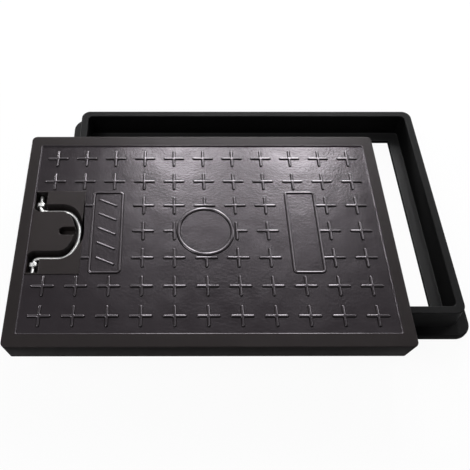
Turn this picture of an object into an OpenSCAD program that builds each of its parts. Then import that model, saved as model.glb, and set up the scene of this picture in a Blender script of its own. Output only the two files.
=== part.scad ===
// Moulded composite manhole cover, lying on its seating frame.
// X runs to the right, Y away from the viewer and Z up, in millimetres.
// The origin is the middle of the assembly's footprint, at the frame's underside.

/* [Cover] */
// Length of the cover, along X
cover_len = 600; // [560:10:660]
// Width of the cover, along Y
cover_wid = 400; // [380:10:460]
// Height of the cover, border to underside
cover_h = 45; // [40:1:55]
// How far each side leans in towards the underside
cover_draft = 5; // [3:0.5:6]
// Corner radius of the cover in plan
cover_corner_r = 9; // [8:1:16]
// Radius of the rounded top edge
cover_edge_r = 1.5; // [1:0.25:2]
// How far the cover lies to the left of its seat
slide_x = 90; // [70:5:110]
// How far the cover lies in front of its seat
slide_y = 90; // [70:5:110]

/* [Underside] */
// Thickness of the top skin, below the field
skin_t = 13; // [10:1:15]
// Thickness of the outer wall at its foot
wall_t = 14; // [12:1:18]
// Thickness of the ribs between the cells
lattice_rib = 8; // [6:1:10]
// Largest width of a cell
cell_max = 67; // [55:1:70]
// Corner radius of a cell
cell_r = 7; // [4:1:10]
// Material left under the handle's groove
boss_t = 9; // [8:1:10]

/* [Tread] */
// Width of the flat border at the two ends
border_x = 20; // [16:1:26]
// Width of the flat border at the two long sides
border_y = 22.5; // [18:0.5:26]
// Depth of the field below the border
field_drop = 2; // [1.5:0.25:3]
// Distance from one cross to the next
cross_pitch = 50; // [44:1:56]
// Overall size of a cross
cross_span = 35.5; // [30:0.5:38]
// Width of a cross arm
cross_w = 4.8; // [3.5:0.1:6]

/* [Ring and panels] */
// Outer diameter of the middle ring
ring_d = 92.7; // [80:0.5:96]
// Width of the ring's ridge
ring_w = 6; // [4:0.5:8]
// Width of a panel, along X
panel_w = 51.5; // [44:0.5:54]
// Length of a panel, along Y
panel_l = 157; // [140:1:160]
// Corner radius of a panel
panel_r = 7; // [6:0.5:10]
// Width of a panel's ridge
panel_ridge = 4.5; // [3:0.5:5.5]
// Space between the handle pad and the nearer panel
panel_gap = 12.3; // [10:0.5:14]
// Number of slanted tread bars in the nearer panel
bar_count = 5; // [3:1:6]
// Width of a tread bar
bar_w = 3.6; // [3:0.1:5]

/* [Handle pad] */
// Length of the pad, along X
pad_len = 83.5; // [81:0.5:88]
// Width of the pad, along Y
pad_wid = 159; // [156:1:166]
// Height of the pad above the field
pad_rise = 1.2; // [0.8:0.1:1.4]
// Width of the groove that the bail lies in
groove_w = 14; // [12:0.5:15]
// Depth of the groove below the pad
groove_depth = 17; // [15:0.5:18]
// Length of each end pocket, along X
pocket_len = 20; // [19:0.5:22]
// Radius of the pocket's corner that goes round the bail's bend
pocket_turn_r = 12; // [8:0.5:14]
// Length of the finger notch
notch_len = 25; // [20:1:30]
// Width of the finger notch
notch_w = 15; // [14:1:20]
// Depth of the finger notch below the pad
notch_depth = 12; // [9:0.5:14]

/* [Bail] */
// Diameter of the bail's rod
bail_d = 7; // [6:0.5:8]
// Distance between the middles of the two legs
bail_wid = 90; // [84:1:94]
// Distance from the pivot to the middle of the crown
bail_reach = 68.5; // [66:0.5:70]
// Bend radius at the bail's shoulders
shoulder_r = 24; // [20:1:28]
// Bend radius along the bail's crown
crown_r = 60; // [54:1:90]
// Bend radius where a leg turns out into its pivot end
bend_r = 8; // [7:0.5:9]
// Straight length of each pivot end
pin_len = 23; // [20:0.5:24]
// Distance from the field's edge to the pivot
pivot_in = 9; // [8.5:0.25:10]
// Space between the lying bail and the groove's floor
bail_clear = 0.3; // [0.2:0.05:0.5]

/* [Straps] */
// Thickness of a strap's sheet
strap_t = 1.5; // [1:0.1:2]
// Width of a strap's sheet, along the pin
strap_w = 7; // [4:0.5:8]
// Width of a strap across the pin, over its legs
strap_span = 13; // [12.5:0.5:15]
// Inner radius of a strap's two bends
strap_bend_r = 1.5; // [0.5:0.25:2.5]
// Space between a strap and the pin it holds down
strap_clear = 0.4; // [0.3:0.05:0.6]
// How deep a strap's legs are set into the pocket floor
strap_sink = 5; // [3:0.5:6]
// Distance from the bend to the middle of the strap
strap_along = 4.5; // [4.5:0.5:12]

/* [Frame] */
// Space all round between the seated cover and the rim
seat_gap = 2; // [1.5:0.25:4]
// Width of the rim's top
rim_w = 13; // [10:0.5:18]
// Width of the flange beyond the rim
flange_w = 20; // [16:1:30]
// Thickness of the flange
flange_t = 10; // [8:0.5:14]
// Thickness of the ledge under the cover
ledge_t = 8; // [6:0.5:12]
// Width of the ledge
ledge_w = 20; // [16:1:26]
// How far the rim's outer face flares towards its foot
rim_flare = 2.5; // [1.5:0.5:4]
// How far the pocket's wall leans in towards the ledge
rim_draft = 1.8; // [1:0.1:2.5]
// Radius of the rounded rim edges
rim_edge_r = 1.5; // [1:0.25:2.5]
// Radius of the flange's rounded top edge
flange_edge_r = 3; // [2:0.5:4]
// Corner radius outside the rim, in plan
rim_corner_r = 16; // [14:1:22]
// Corner radius inside the rim, in plan
pocket_corner_r = 8; // [6:0.5:10]
// Corner radius of the flange, in plan
flange_corner_r = 26; // [22:1:34]

/* [Hidden] */
$fn = 64;

// How far a cutting shape runs past what it cuts
over = 1;
// How much the shoulders' section is larger all round than what they join
seam = 0.05;
// How far the crown and the legs run on into the shoulders
lap = 0.5;

// Heights, from the underside of the piece that they belong to
frame_h = ledge_t + cover_h;
field_z = cover_h - field_drop;
pad_z = field_z + pad_rise;
cell_top = field_z - skin_t;
groove_z = pad_z - groove_depth;
boss_z = groove_z - boss_t;
rod_z = groove_z + bail_clear + bail_d / 2;

// Plan sizes of the frame
pocket_size = [cover_len + 2 * seat_gap, cover_wid + 2 * seat_gap];
rim_size = pocket_size + 2 * [rim_w, rim_w];
rim_foot_size = rim_size + 2 * [rim_flare, rim_flare];
flange_size = rim_size + 2 * [flange_w, flange_w];
opening_size = pocket_size - 2 * [ledge_w + rim_draft, ledge_w + rim_draft];

// Place of the frame and of the cover, which rests on the frame's left and front rims
left_x = min(-flange_size.x / 2, -slide_x - cover_len / 2);
right_x = max(flange_size.x / 2, -slide_x + cover_len / 2);
front_y = min(-flange_size.y / 2, -slide_y - cover_wid / 2);
back_y = max(flange_size.y / 2, -slide_y + cover_wid / 2);
frame_pos = [-(left_x + right_x) / 2, -(front_y + back_y) / 2, 0];
cover_pos = frame_pos + [-slide_x, -slide_y, frame_h];

// Plan sizes on the cover
field_size = [cover_len - 2 * border_x, cover_wid - 2 * border_y];
field_left = -field_size.x / 2;
pad_right = field_left + pad_len;
panel_x = pad_right + panel_gap + panel_w / 2;
cross_cols = floor((field_size.x - cross_span) / cross_pitch) + 1;
cross_rows = floor((field_size.y - cross_span) / cross_pitch) + 1;

// The cells of the underside
lattice_size = [cover_len, cover_wid] - 2 * [cover_draft + wall_t, cover_draft + wall_t];
cell_cols = ceil((lattice_size.x + lattice_rib) / (cell_max + lattice_rib));
cell_rows = ceil((lattice_size.y + lattice_rib) / (cell_max + lattice_rib));
cell_size = [(lattice_size.x + lattice_rib) / cell_cols - lattice_rib,
             (lattice_size.y + lattice_rib) / cell_rows - lattice_rib];
boss_margin = 6;

// The bail's middle line: two legs, two shoulders and a flatter crown, each tangent to the next
bail_half = bail_wid / 2;
pivot_x = field_left + pivot_in;
crown_x = pivot_x + bail_reach - crown_r;
shoulder_rise = bail_half - shoulder_r;
shoulder_x = crown_x + sqrt(pow(crown_r - shoulder_r, 2) - pow(shoulder_rise, 2));
crown_angle = atan2(shoulder_rise, shoulder_x - crown_x);
pin_y = bail_half + bend_r;
pin_end = pin_y + pin_len;
strap_y = pin_y + strap_along;

// A rectangle with round corners
module round_rect(size, r) {
    square([size.x - 2 * r, size.y], center = true);
    square([size.x, size.y - 2 * r], center = true);
    for (x = [-1, 1], y = [-1, 1])
        translate([x * (size.x / 2 - r), y * (size.y / 2 - r)]) circle(r);
}

// A slab with round corners whose side follows a profile: the child is drawn from 0 to r in X
module profiled_slab(size, r, z0, z1) {
    translate([r - size.x / 2, r - size.y / 2, z0])
        cube([size.x - 2 * r, size.y - 2 * r, z1 - z0]);
    for (turn = [0:3]) {
        side = turn % 2 == 0 ? size : [size.y, size.x];
        rotate([0, 0, 90 * turn])
            translate([side.x / 2 - r, side.y / 2 - r, 0]) {
                rotate_extrude(angle = 90) children();
                rotate([90, 0, 0]) linear_extrude(side.y - 2 * r) children();
            }
    }
}

// Side profile with a leaning face and a rounded top edge, r wide at the top
module leaning_edge(r, h, foot, edge_r) {
    arc_x = r - edge_r;
    arc_z = h - edge_r;
    lean = atan2(arc_x - foot, arc_z) + asin(edge_r / norm([arc_x - foot, arc_z]));
    translate([arc_x, arc_z]) circle(edge_r);
    polygon([[0, 0], [foot, 0],
             [arc_x + edge_r * cos(lean), arc_z - edge_r * sin(lean)],
             [arc_x, arc_z], [arc_x, h], [0, h]]);
}

// Profile of the cut that makes the cover's pocket, flaring over the rim's rounded inner edge
module pocket_edge(r, z0, z1, foot) {
    top_r = r + rim_edge_r;
    polygon([[0, z0], [foot, z0], [r, z1 - rim_edge_r], [r, z1 + over], [0, z1 + over]]);
    difference() {
        translate([r - over / 4, z1 - rim_edge_r]) square([rim_edge_r + over / 4, rim_edge_r + over]);
        translate([top_r, z1 - rim_edge_r]) circle(rim_edge_r);
    }
}

// The surround: flange, rim, pocket and ledge, moulded in one
module frame() {
    foot_r = rim_corner_r + rim_flare;
    pocket_foot_r = pocket_corner_r - rim_draft;
    flared_pocket = pocket_size + 2 * [rim_edge_r, rim_edge_r];
    color("#2d2d2e") translate(frame_pos) difference() {
        union() {
            profiled_slab(flange_size, flange_corner_r, 0, flange_t)
                leaning_edge(flange_corner_r, flange_t, flange_corner_r, flange_edge_r);
            profiled_slab(rim_foot_size, foot_r, 0, frame_h)
                leaning_edge(rim_corner_r, frame_h, foot_r, rim_edge_r);
        }
        profiled_slab(flared_pocket, pocket_corner_r + rim_edge_r, ledge_t, frame_h + over)
            pocket_edge(pocket_corner_r, ledge_t, frame_h, pocket_foot_r);
        translate([0, 0, -over])
            linear_extrude(frame_h) square(opening_size, center = true);
    }
}

// One cross of the tread, with round arm ends
module cross_2d() {
    reach = (cross_span - cross_w) / 2;
    for (turn = [0, 90]) rotate(turn) {
        square([2 * reach, cross_w], center = true);
        for (end = [-1, 1]) translate([end * reach, 0]) circle(cross_w / 2);
    }
}

// The plain ground that the pad, the panels and the ring keep clear of crosses
module tread_gaps_2d() {
    pad_2d();
    translate([pad_right - over, -cross_pitch / 4]) square([panel_gap + 2 * over, cross_pitch / 2]);
    for (side = [-1, 1]) translate([side * panel_x, 0]) round_rect([panel_w, panel_l], panel_r);
    circle(ring_d / 2);
}

// The tread: rows of crosses
module crosses_2d() {
    difference() {
        for (col = [0:cross_cols - 1], row = [0:cross_rows - 1])
            translate([(col - (cross_cols - 1) / 2) * cross_pitch, (row - (cross_rows - 1) / 2) * cross_pitch])
                cross_2d();
        tread_gaps_2d();
    }
}

// The ridge round a panel
module panel_ridge_2d() {
    difference() {
        round_rect([panel_w, panel_l], panel_r);
        round_rect([panel_w, panel_l] - 2 * [panel_ridge, panel_ridge], panel_r - panel_ridge);
    }
}

// Slanted tread bars inside the panel next to the handle
module bars_2d() {
    room = [panel_w, panel_l] - 2 * [2 * panel_ridge, 2 * panel_ridge];
    step = room.y / bar_count;
    half_run = (room.x - bar_w) / 2;
    slant = atan2(step / 2, 2 * half_run);
    for (bar = [0:bar_count - 1]) translate([0, (bar - (bar_count - 1) / 2) * step]) rotate(-slant) {
        square([2 * half_run, bar_w], center = true);
        for (end = [-1, 1]) translate([end * half_run, 0]) circle(bar_w / 2);
    }
}

// Everything that stands up from the field to the border's height
module relief_2d() {
    crosses_2d();
    for (side = [-1, 1]) translate([side * panel_x, 0]) panel_ridge_2d();
    translate([panel_x, 0]) bars_2d();
    difference() {
        circle(ring_d / 2);
        circle(ring_d / 2 - ring_w);
    }
}

// Outline of the handle pad
module pad_2d() {
    translate([field_left, -pad_wid / 2]) square([pad_len, pad_wid]);
}

// Sweeps the first child, drawn about its own middle, along the bail's crown and legs, and the
// second one, which is larger by the seam, along the shoulders between them
module along_bail(leg_start) {
    crown_end = crown_angle + lap / crown_r * 180 / PI;
    translate([crown_x, 0, 0]) rotate([0, 0, -crown_end])
        rotate_extrude(angle = 2 * crown_end) translate([crown_r, 0]) children(0);
    for (side = [0, 1]) mirror([0, side, 0]) {
        translate([shoulder_x, shoulder_rise, 0]) rotate([0, 0, crown_angle])
            rotate_extrude(angle = 90 - crown_angle) translate([shoulder_r, 0]) children(1);
        translate([leg_start, bail_half, 0]) rotate([90, 0, 90])
            linear_extrude(shoulder_x + lap - leg_start) children(0);
    }
}

// The groove, end pockets and finger notch, cut down from the pad
module handle_cuts() {
    cut_h = groove_depth + field_drop + over;
    translate([0, 0, groove_z]) along_bail(field_left + pocket_turn_r) {
        translate([-groove_w / 2, 0]) square([groove_w, cut_h]);
        translate([-groove_w / 2 - seam, 0]) square([groove_w + 2 * seam, cut_h]);
    }
    pocket_y = bail_half - groove_w / 2;
    pocket_wid = pin_end + over - pocket_y;
    for (side = [0, 1]) mirror([0, side, 0])
        translate([field_left, pocket_y, groove_z]) linear_extrude(cut_h) {
            translate([pocket_turn_r, 0]) square([pocket_len - pocket_turn_r, pocket_wid]);
            translate([0, pocket_turn_r]) square([pocket_len, pocket_wid - pocket_turn_r]);
            translate([pocket_turn_r, pocket_turn_r]) circle(pocket_turn_r);
        }
    notch_right = pivot_x + bail_reach;
    notch_left = notch_right - groove_w / 2 - notch_len + notch_w / 2;
    translate([0, 0, pad_z - notch_depth]) linear_extrude(cut_h) {
        translate([notch_left, -notch_w / 2]) square([notch_right - notch_left, notch_w]);
        translate([notch_left, 0]) circle(notch_w / 2);
    }
    for (side = [0, 1]) mirror([0, side, 0]) strap_sheet(groove_z);
}

// Middle of a cell of the underside
function cell_spot(col, row) = [(col - (cell_cols - 1) / 2) * (cell_size.x + lattice_rib),
                                (row - (cell_rows - 1) / 2) * (cell_size.y + lattice_rib)];

// Whether a cell reaches below the handle's pad
function below_pad(spot) = spot.x - cell_size.x / 2 < pad_right + boss_margin
                           && abs(spot.y) - cell_size.y / 2 < pad_wid / 2 + boss_margin;

// The cells of the underside, shallower below the handle
module cells() {
    for (shallow = [false, true])
        translate([0, 0, -over]) linear_extrude((shallow ? boss_z : cell_top) + over)
            for (col = [0:cell_cols - 1], row = [0:cell_rows - 1])
                if (below_pad(cell_spot(col, row)) == shallow)
                    translate(cell_spot(col, row)) round_rect(cell_size, cell_r);
}

// The cover: tread plate, border, handle pad and ribbed underside, moulded in one
module cover() {
    color("#322e2f") translate(cover_pos) difference() {
        profiled_slab([cover_len, cover_wid], cover_corner_r, 0, cover_h)
            leaning_edge(cover_corner_r, cover_h, cover_corner_r - cover_draft, cover_edge_r);
        translate([0, 0, field_z]) linear_extrude(field_drop + over) difference() {
            square(field_size, center = true);
            relief_2d();
            pad_2d();
        }
        translate([0, 0, pad_z]) linear_extrude(field_drop + over) pad_2d();
        handle_cuts();
        cells();
    }
}

// The steel rod handle, lying in its groove
module bail() {
    color("#c8c9ca") translate(cover_pos + [0, 0, rod_z]) {
        along_bail(pivot_x + bend_r) {
            circle(bail_d / 2);
            circle(bail_d / 2 + seam);
        }
        for (side = [0, 1]) mirror([0, side, 0]) {
            translate([pivot_x + bend_r, pin_y, 0]) rotate([0, 0, 180])
                rotate_extrude(angle = 90) translate([bend_r, 0]) circle(d = bail_d);
            translate([pivot_x, pin_y, 0]) rotate([-90, 0, 0]) cylinder(d = bail_d, h = pin_len);
        }
    }
}

// Outline of a strap, flat on top with two bends, grown from its inner side
module strap_outline(grow, foot) {
    half = strap_span / 2 - strap_t + grow;
    top = bail_d / 2 + strap_clear + grow;
    r = strap_bend_r + grow;
    translate([-half, foot]) square([2 * half, top - r - foot]);
    translate([r - half, foot]) square([2 * (half - r), top - foot]);
    for (side = [-1, 1]) translate([side * (half - r), top - r]) circle(r);
}

// The sheet of one strap: a flat top over the pin and two legs sunk into the pocket floor
module strap_sheet(floor_z) {
    foot = floor_z - strap_sink - rod_z;
    translate([pivot_x, strap_y + strap_w / 2, rod_z]) rotate([90, 0, 0])
        linear_extrude(strap_w) difference() {
            strap_outline(strap_t, foot);
            strap_outline(0, foot - over);
        }
}

// The strap over the bail's pivot end nearer to the viewer
module front_strap() {
    color("#b9babb") translate(cover_pos) mirror([0, 1, 0]) strap_sheet(groove_z);
}

// The strap over the bail's far pivot end
module rear_strap() {
    color("#b9babb") translate(cover_pos) strap_sheet(groove_z);
}

frame();
cover();
bail();
front_strap();
rear_strap();
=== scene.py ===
"""Looks of a moulded composite manhole cover that lies slid off its seat on its frame.

Every length is in metres, in the model's own frame: X runs along the cover from its handle end,
Y away from the viewer and Z up.
"""

import logging
import math
from collections.abc import Callable, Sequence
from dataclasses import dataclass, replace
from enum import Enum
from typing import Any

import bmesh
import bpy
from mathutils import Matrix, Vector


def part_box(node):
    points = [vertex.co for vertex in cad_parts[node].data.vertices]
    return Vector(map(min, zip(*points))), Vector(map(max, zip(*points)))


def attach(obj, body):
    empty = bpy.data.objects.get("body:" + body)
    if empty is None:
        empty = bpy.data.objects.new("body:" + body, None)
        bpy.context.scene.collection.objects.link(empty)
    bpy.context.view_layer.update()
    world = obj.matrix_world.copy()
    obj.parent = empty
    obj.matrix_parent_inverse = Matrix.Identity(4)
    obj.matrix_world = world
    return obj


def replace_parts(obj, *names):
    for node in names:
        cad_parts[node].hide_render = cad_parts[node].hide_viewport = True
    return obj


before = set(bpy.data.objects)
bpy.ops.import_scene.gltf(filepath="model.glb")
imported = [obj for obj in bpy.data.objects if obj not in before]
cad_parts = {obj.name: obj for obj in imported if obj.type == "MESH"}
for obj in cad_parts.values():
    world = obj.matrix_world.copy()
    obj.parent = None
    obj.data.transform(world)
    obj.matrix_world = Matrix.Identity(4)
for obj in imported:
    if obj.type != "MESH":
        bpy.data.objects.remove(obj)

LOG = logging.getLogger("manhole_cover")
MM = 0.001
QUARTER = math.pi / 2

Point2 = tuple[float, float]
Colour = tuple[float, float, float]


class Slot(Enum):
    """The record's material slots."""

    FRAME = "frame_composite"
    COVER = "cover_composite"
    BAIL = "bail_steel"
    STRAP = "strap_steel"


class Body(Enum):
    """The bodies that the pieces ride on."""

    ROOT = "root"
    BAIL = "bail"


class Signal:
    """A shader socket that takes part in arithmetic: each operator adds one Math node."""

    def __init__(self, paint: "Paint", socket: bpy.types.NodeSocket) -> None:
        """Keeps the socket and the material that it belongs to."""
        self.paint = paint
        self.socket = socket

    def _math(self, operation: str, first: "Signal | float", second: "Signal | float") -> "Signal":
        """Adds a Math node with this operation."""
        return self.paint.node("ShaderNodeMath", {"operation": operation}, {0: first, 1: second})

    def __add__(self, other: "Signal | float") -> "Signal":
        """Sum of two signals."""
        return self._math("ADD", self, other)

    def __radd__(self, other: float) -> "Signal":
        """Sum with a number on the left."""
        return self._math("ADD", other, self)

    def __sub__(self, other: "Signal | float") -> "Signal":
        """Difference of two signals."""
        return self._math("SUBTRACT", self, other)

    def __rsub__(self, other: float) -> "Signal":
        """Difference with a number on the left."""
        return self._math("SUBTRACT", other, self)

    def __mul__(self, other: "Signal | float") -> "Signal":
        """Product of two signals."""
        return self._math("MULTIPLY", self, other)

    def __rmul__(self, other: float) -> "Signal":
        """Product with a number on the left."""
        return self._math("MULTIPLY", other, self)

    def clamp(self) -> "Signal":
        """The signal held between 0 and 1."""
        return self.paint.node("ShaderNodeClamp", {}, {"Value": self})


class Paint:
    """A node material under construction."""

    def __init__(self, name: str) -> None:
        """Starts a material with an empty node tree.

        Args:
            name: the material's name.
        """
        self.material = bpy.data.materials.new(name)
        self.material.use_nodes = True
        self.tree = self.material.node_tree
        self.tree.nodes.clear()

    def node(self, kind: str, settings: dict[str, Any], values: dict[Any, Any], output: Any = 0) -> Signal:
        """Adds any node.

        Args:
            kind: the node's type.
            settings: properties that are set first; "stops" fills a colour ramp.
            values: numbers, colours or signals for the sockets, by name or number.
            output: the output to return.

        Returns:
            The chosen output as a signal.
        """
        made = self.tree.nodes.new(kind)
        for key, value in settings.items():
            if key == "stops":
                self._fill_ramp(made.color_ramp, value)
            else:
                setattr(made, key, value)
        for key, value in values.items():
            if isinstance(value, Signal):
                self.tree.links.new(value.socket, made.inputs[key])
            else:
                made.inputs[key].default_value = value
        return Signal(self, made.outputs[output])

    @staticmethod
    def _fill_ramp(ramp: bpy.types.ColorRamp, stops: Sequence[tuple[float, Colour]]) -> None:
        """Writes the stops of a colour ramp."""
        while len(ramp.elements) < len(stops):
            ramp.elements.new(0.5)
        for element, (place, colour) in zip(ramp.elements, stops):
            element.position = place
            element.color = (*colour, 1.0)

    def noise(self, scale: float, detail: float = 3.0, rough: float = 0.5) -> Signal:
        """Noise on object coordinates.

        Args:
            scale: features per metre.
            detail: number of octaves.
            rough: weight of each finer octave.

        Returns:
            The noise's factor.
        """
        place = self.node("ShaderNodeTexCoord", {}, {}, "Object")
        values = {"Vector": place, "Scale": scale, "Detail": detail, "Roughness": rough}
        return self.node("ShaderNodeTexNoise", {}, values, 0)

    def bump(self, height: Signal, distance: float, strength: float, below: Signal | None = None) -> Signal:
        """A Bump node, on top of another one if that is given."""
        values: dict[Any, Any] = {"Height": height, "Distance": distance, "Strength": strength}
        if below is not None:
            values["Normal"] = below
        return self.node("ShaderNodeBump", {}, values)

    def finish(self, shader: Signal) -> bpy.types.Material:
        """Joins the shader to the material's output and returns the material."""
        result = self.tree.nodes.new("ShaderNodeOutputMaterial")
        self.tree.links.new(shader.socket, result.inputs["Surface"])
        return self.material


@dataclass(frozen=True)
class CompositeFinish:
    """Moulded glass-fibre compound, black all through.

    The colour drifts slowly between two near-blacks, the gloss is uneven, and the skin has the
    grain of the mould, a slight orange peel and a long soft waviness from shrinking.
    """

    name: str
    dark: Colour
    light: Colour
    roughness: float
    roughness_spread: float
    specular: float
    grain_depth: float
    peel_depth: float
    wave_depth: float
    tint: Colour = (1.0, 1.0, 1.0)
    drift_scale: float = 9.0
    grain_scale: float = 1500.0
    peel_scale: float = 240.0
    wave_scale: float = 17.0

    def material(self) -> bpy.types.Material:
        """Builds the material.

        Returns:
            A node material for a moulded surface.
        """
        paint = Paint(self.name)
        drift = paint.noise(self.drift_scale, 4.0, 0.6)
        grain = paint.noise(self.grain_scale, 2.0)
        peel = paint.noise(self.peel_scale, 2.0)
        wave = paint.noise(self.wave_scale, 2.0, 0.45)
        cloud = paint.noise(5.0 * self.drift_scale, 5.0, 0.65)
        colour = paint.node(
            "ShaderNodeValToRGB",
            {"stops": [(0.3, self.dark), (0.7, self.light)]},
            {"Fac": 0.7 * drift + 0.3 * grain},
        )
        gloss = self.roughness + self.roughness_spread * (1.2 * cloud + 0.8 * drift - 1.0)
        normal = paint.bump(wave, self.wave_depth, 1.0)
        normal = paint.bump(peel, self.peel_depth, 1.0, normal)
        normal = paint.bump(grain, self.grain_depth, 1.0, normal)
        shader = paint.node(
            "ShaderNodeBsdfPrincipled",
            {},
            {
                "Base Color": colour,
                "Roughness": gloss.clamp(),
                "Specular IOR Level": self.specular,
                "Specular Tint": (*self.tint, 1.0),
                "Normal": normal,
            },
        )
        return paint.finish(shader)


@dataclass(frozen=True)
class SteelFinish:
    """Bright zinc-plated steel with a brushed, slightly blotchy surface."""

    name: str
    dark: Colour
    light: Colour
    roughness: float
    scratch_depth: float = 0.00003
    spangle_scale: float = 420.0

    def material(self) -> bpy.types.Material:
        """Builds the material.

        Returns:
            A node material for a plated rod or sheet.
        """
        paint = Paint(self.name)
        spangle = paint.noise(self.spangle_scale, 3.0, 0.6)
        scratch = paint.noise(8.0 * self.spangle_scale, 2.0)
        colour = paint.node(
            "ShaderNodeValToRGB",
            {"stops": [(0.35, self.dark), (0.6, self.light)]},
            {"Fac": spangle},
        )
        shader = paint.node(
            "ShaderNodeBsdfPrincipled",
            {},
            {
                "Base Color": colour,
                "Metallic": 1.0,
                "Roughness": (self.roughness + 0.16 * (spangle - 0.5)).clamp(),
                "Normal": paint.bump(scratch, self.scratch_depth, 1.0),
            },
        )
        return paint.finish(shader)


@dataclass(frozen=True)
class GroundFinish:
    """The plain pale ground, which shows as white and still takes the object's shadow."""

    name: str = "pale_ground"
    colour: Colour = (0.7, 0.7, 0.7)
    own_light: float = 0.95
    mirror_light: float = 0.1

    def material(self) -> bpy.types.Material:
        """Builds the material.

        Returns:
            A diffuse material that is partly lit from itself for camera and mirror rays.
        """
        paint = Paint(self.name)
        seen = paint.node("ShaderNodeLightPath", {}, {}, "Is Camera Ray")
        mirrored = paint.node("ShaderNodeLightPath", {}, {}, "Is Glossy Ray")
        mirrored = (mirrored + paint.node("ShaderNodeLightPath", {}, {}, "Is Transmission Ray")).clamp()
        share = self.own_light * seen + self.mirror_light * mirrored
        lit = paint.node("ShaderNodeBsdfDiffuse", {}, {"Color": (*self.colour, 1.0)})
        glow = paint.node("ShaderNodeEmission", {}, {"Color": (1.0, 1.0, 1.0, 1.0), "Strength": 1.0})
        mixed = paint.node("ShaderNodeMixShader", {}, {0: share.clamp(), 1: lit, 2: glow})
        return paint.finish(mixed)


@dataclass(frozen=True)
class RoundRect:
    """A rectangle with round corners about the middle of its own piece."""

    half_x: float
    half_y: float
    corner: float
    steps: int = 10

    def inset(self, distance: float) -> "RoundRect":
        """The parallel rectangle this far inside, or outside where the distance is negative."""
        corner = max(self.corner - distance, 0.02 * MM)
        return replace(self, half_x=self.half_x - distance, half_y=self.half_y - distance, corner=corner)

    def points(self, left_stops: Sequence[float] = ()) -> list[Point2]:
        """The outline, anticlockwise from the right end of the back side's corner.

        Args:
            left_stops: heights at which the left side gets a point of its own.

        Returns:
            The outline's points.
        """
        outline: list[Point2] = []
        turns = [(1, 1), (-1, 1), (-1, -1), (1, -1)]
        for turn, (sx, sy) in enumerate(turns):
            centre = (sx * (self.half_x - self.corner), sy * (self.half_y - self.corner))
            outline += arc(centre, self.corner, turn * QUARTER, (turn + 1) * QUARTER, self.steps)
            if turn == 1:
                outline += [(-self.half_x, stop) for stop in sorted(left_stops, reverse=True)]
        return outline


def arc(centre: Point2, radius: float, start: float, end: float, steps: int) -> list[Point2]:
    """Points along an arc, both ends included.

    Args:
        centre: the arc's centre.
        radius: its radius.
        start: first angle, in radians.
        end: last angle, in radians.
        steps: number of chords.

    Returns:
        steps + 1 points.
    """
    angles = [start + (end - start) * step / steps for step in range(steps + 1)]
    return [(centre[0] + radius * math.cos(a), centre[1] + radius * math.sin(a)) for a in angles]


def inset_outline(outline: Sequence[Point2], distance: float) -> list[Point2]:
    """Moves each side of an anticlockwise outline inwards by the same distance.

    Args:
        outline: the outline's points.
        distance: how far to move, outwards where it is negative.

    Returns:
        As many points as before.
    """
    moved = []
    count = len(outline)
    for index, here in enumerate(outline):
        before = Vector(here) - Vector(outline[index - 1])
        after = Vector(outline[(index + 1) % count]) - Vector(here)
        first = Vector((-before.y, before.x)).normalized()
        second = Vector((-after.y, after.x)).normalized()
        mitre = (first + second) / max(1.0 + first.dot(second), 0.2)
        moved.append((here[0] + distance * mitre.x, here[1] + distance * mitre.y))
    return moved


def rounding(radius: float, steps: int = 4, hold: float = 0.35 * MM) -> list[Point2]:
    """Stations of a rounded top edge, as (inset, drop below the top), from the side to the top.

    Args:
        radius: the edge's radius.
        steps: number of chords.
        hold: how far in a last station keeps the flat face flat.

    Returns:
        The stations.
    """
    turned = [QUARTER * step / steps for step in range(steps + 1)]
    stations = [(radius * (1 - math.cos(a)), radius * (1 - math.sin(a))) for a in turned]
    return [*stations, (radius + hold, 0.0)]


class Builder:
    """A mesh under construction, made of lofted rings and filled outlines."""

    def __init__(self) -> None:
        """Starts with no faces."""
        self.mesh = bmesh.new()

    def ring(self, outline: Sequence[Point2], height: float) -> list[bmesh.types.BMVert]:
        """Adds the vertices of one level outline."""
        return [self.mesh.verts.new((x, y, height)) for x, y in outline]

    def skin(self, rings: Sequence[Sequence[bmesh.types.BMVert]], closed: bool = False, slot: int = 0) -> None:
        """Joins rings of equal length, one after the other.

        Args:
            rings: the rings, from the outside bottom upwards.
            closed: whether the last ring joins the first.
            slot: the material slot of the faces.
        """
        pairs = list(zip(rings, rings[1:]))
        if closed:
            pairs.append((rings[-1], rings[0]))
        for lower, upper in pairs:
            count = len(lower)
            for index in range(count):
                after = (index + 1) % count
                face = self.mesh.faces.new((lower[index], lower[after], upper[after], upper[index]))
                face.material_index = slot

    def cap(self, ring: Sequence[bmesh.types.BMVert], slot: int = 0, downwards: bool = False) -> None:
        """Fills a ring with one face."""
        face = self.mesh.faces.new(list(reversed(ring)) if downwards else list(ring))
        face.material_index = slot

    def prism(self, outline: Sequence[Point2], bottom: float, top: float, radius: float, slot: int = 0) -> None:
        """A closed block with a rounded top edge.

        Args:
            outline: its anticlockwise outline.
            bottom: height of its flat underside.
            top: height of its top.
            radius: radius of the top edge.
            slot: the material slot of its faces.
        """
        rings = [self.ring(outline, bottom)]
        for inward, drop in rounding(radius):
            rings.append(self.ring(inset_outline(outline, inward), top - drop))
        self.skin(rings, slot=slot)
        self.cap(rings[0], slot, downwards=True)
        self.cap(rings[-1], slot)

    def done(self, name: str, place: Vector, smooth_angle: float = 40.0) -> bpy.types.Mesh:
        """Turns the work into a mesh.

        Args:
            name: the mesh's name.
            place: where the piece's own middle lies.
            smooth_angle: edges bent more than this, in degrees, stay sharp.

        Returns:
            The finished mesh.
        """
        bmesh.ops.remove_doubles(self.mesh, verts=self.mesh.verts, dist=0.004 * MM)
        bmesh.ops.translate(self.mesh, verts=self.mesh.verts, vec=place)
        bmesh.ops.recalc_face_normals(self.mesh, faces=self.mesh.faces)
        made = bpy.data.meshes.new(name)
        self.mesh.to_mesh(made)
        self.mesh.free()
        shade(made, smooth_angle)
        return made


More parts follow.
